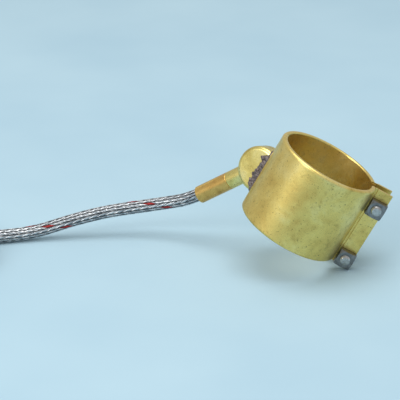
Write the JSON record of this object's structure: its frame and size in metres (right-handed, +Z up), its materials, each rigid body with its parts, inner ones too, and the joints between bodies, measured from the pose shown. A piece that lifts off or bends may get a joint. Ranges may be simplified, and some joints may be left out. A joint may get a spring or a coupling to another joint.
{
  "type": "band heater",
  "caption": "Split brass band heater with a mica-insulated winding, a bolted clamp of hemmed lugs and a brazed terminal cap with a braided lead.",
  "frame": {"origin": "centre of the bore, on its axis and midway along it", "axes": "+Z up with the part lying at rest, its lugs' lower corners and its coiled lead on a surface; the bore's axis leans 28.8 degrees from +Z towards +X; +X runs from the lead towards the clamp, +Y along the clamp screws from the nuts to the heads"},
  "size_m": [0.3033, 0.0912, 0.0639],
  "materials": {
    "sheath_brass": "satin, lightly scuffed",
    "mica": "matt",
    "resistance_alloy": "satin",
    "dark_steel": "dull, oxidised",
    "braze": "rough",
    "cement": "matt",
    "nickel": "satin",
    "core_brown": "satin",
    "core_blue": "satin",
    "core_green": "satin",
    "braided_lead": "steel braid with red tracers",
    "tie_black": "satin"
  },
  "bodies": {
    "band": {"outer_sheath": "sheath_brass", "inner_sheath": "sheath_brass", "inner_mica": "mica", "outer_mica": "mica", "heating_ribbon": "resistance_alloy", "square_nut_upper": "dark_steel", "square_nut_lower": "dark_steel", "terminal_cap": "sheath_brass", "braze_bead": "braze", "cap_neck": "sheath_brass", "crimp_sleeve": "sheath_brass", "cap_cement": "cement", "line_tab": "nickel", "neutral_tab": "nickel", "line_barrel": "nickel", "neutral_barrel": "nickel", "line_core": "core_brown", "neutral_core": "core_blue", "earth_core": "core_green", "earth_tag": "nickel", "lead_tube": "braided_lead", "lead_coil": "braided_lead", "coil_tie": "tie_black", "lead_tail": "braided_lead", "end_sleeve": "sheath_brass", "line_wire": "core_brown", "neutral_wire": "core_blue", "earth_wire": "core_green", "line_ferrule": "nickel", "neutral_ferrule": "nickel", "earth_ferrule": "nickel"},
    "upper_washer": {"washer_upper": "dark_steel"},
    "upper_screw": {"clamp_screw_upper": "dark_steel"},
    "lower_washer": {"washer_lower": "dark_steel"},
    "lower_screw": {"clamp_screw_lower": "dark_steel"}
  },
  "joints": [
    {"name": "upper_screw_travel", "type": "slide", "parent": "band", "child": "upper_washer", "axis": [0, 1, 0], "range_m": [0, 0.003]},
    {"name": "upper_screw_turn", "type": "hinge", "parent": "upper_washer", "child": "upper_screw", "pos_m": [0.03117, 0.00412, -0.00413], "axis": [0, 1, 0], "range_deg": [0, 1350]},
    {"name": "lower_screw_travel", "type": "slide", "parent": "band", "child": "lower_washer", "axis": [0, 1, 0], "range_m": [0, 0.003]},
    {"name": "lower_screw_turn", "type": "hinge", "parent": "lower_washer", "child": "lower_screw", "pos_m": [0.01739, 0.00412, -0.02919], "axis": [0, 1, 0], "range_deg": [0, 1350]}
  ],
  "couplings": [
    {"joint": "upper_screw_turn", "follows": "upper_screw_travel", "rad_per_m": 7854},
    {"joint": "lower_screw_turn", "follows": "lower_screw_travel", "rad_per_m": 7854}
  ]
}
